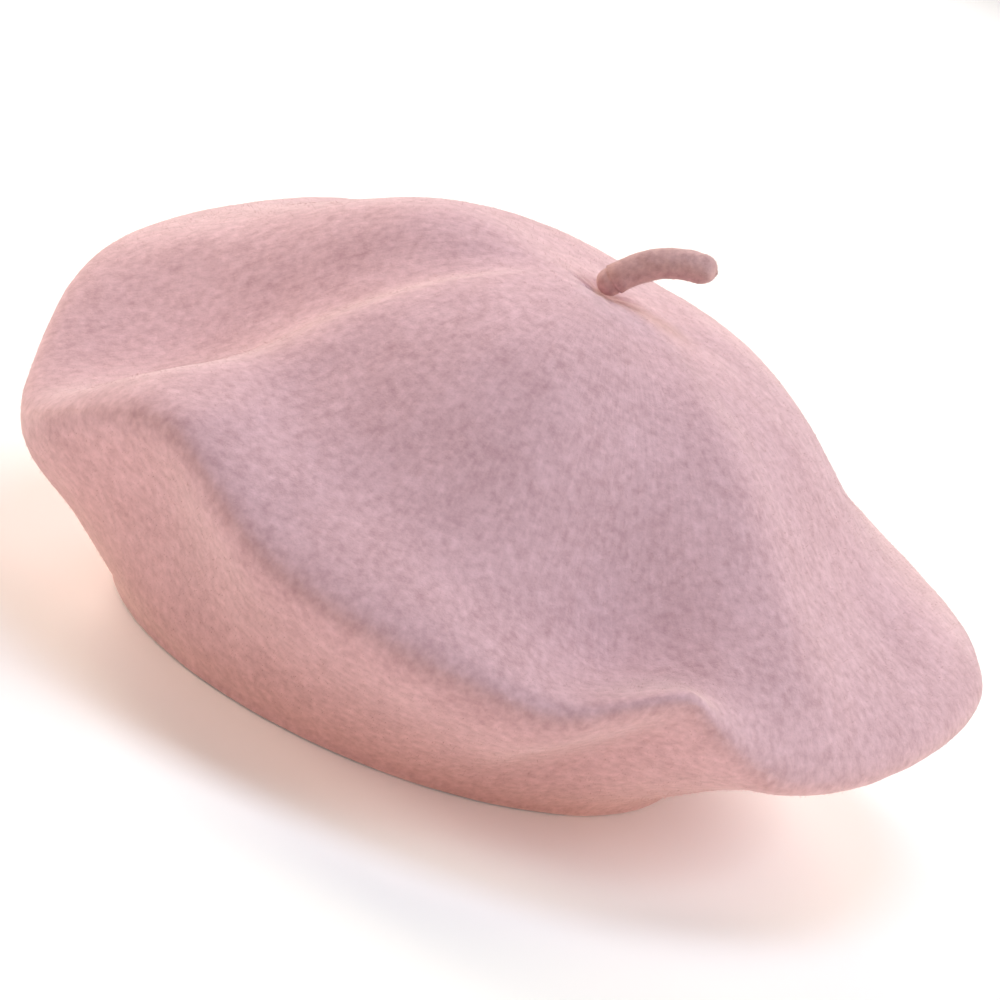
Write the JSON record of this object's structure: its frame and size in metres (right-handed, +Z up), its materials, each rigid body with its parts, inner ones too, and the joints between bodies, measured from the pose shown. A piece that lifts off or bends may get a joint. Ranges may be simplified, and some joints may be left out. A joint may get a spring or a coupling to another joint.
{
  "type": "beret",
  "caption": "Soft felt beret with a folded rim, a short bent stalk on the crown, a satin lining and a ribbon sweatband at the head opening.",
  "frame": {"origin": "centre of the head opening, in the plane of its bottom edge", "axes": "+Z up through the crown, +X to the wearer's right, where the stalk bends to, +Y to the back"},
  "size_m": [0.2998, 0.2907, 0.1549],
  "materials": {
    "felt": "fulled wool felt, mottled dusty pink with a short soft nap",
    "lining_satin": "smooth satin weave",
    "ribbon": "ribbed grosgrain",
    "bow_ribbon": "ribbed grosgrain ribbon",
    "elastic": "braided elastic",
    "thread": "twisted sewing thread",
    "label_satin": "woven satin label, blank"
  },
  "bodies": {
    "hat": {"felt_body": "felt", "stalk_knot": "thread", "lining_crown": "lining_satin", "lining_side": "lining_satin", "lining_seam": "lining_satin", "sweatband": "ribbon", "sizing_elastic": "elastic", "hem_stitching": "thread", "casing_stitching": "thread", "band_bow": "bow_ribbon", "bow_knot": "bow_ribbon"},
    "stalk_foot": {"stalk_foot": "felt"},
    "stalk": {"stalk": "felt"},
    "care_label": {"care_label": "label_satin"},
    "size_label": {"size_label": "label_satin"}
  },
  "joints": [
    {"name": "stalk_nod", "type": "hinge", "parent": "hat", "child": "stalk_foot", "pos_m": [0.01611, 0, 0.13648], "axis": [1, 0, 0], "range_deg": [-20, 20], "stiffness_Nm_per_rad": 0.004},
    {"name": "stalk_tilt", "type": "hinge", "parent": "stalk_foot", "child": "stalk", "pos_m": [0.01611, 0, 0.13648], "axis": [0, 1, 0], "range_deg": [-40, 10], "stiffness_Nm_per_rad": 0.004},
    {"name": "care_label_flap", "type": "hinge", "parent": "hat", "child": "care_label", "pos_m": [-0.08272, 0, 0.0258], "axis": [0, -1, 0], "range_deg": [0, 150]},
    {"name": "size_label_flap", "type": "hinge", "parent": "hat", "child": "size_label", "pos_m": [-0.04781, 0.06828, 0.0258], "axis": [-0.8192, -0.5736, 0], "range_deg": [0, 150]}
  ]
}
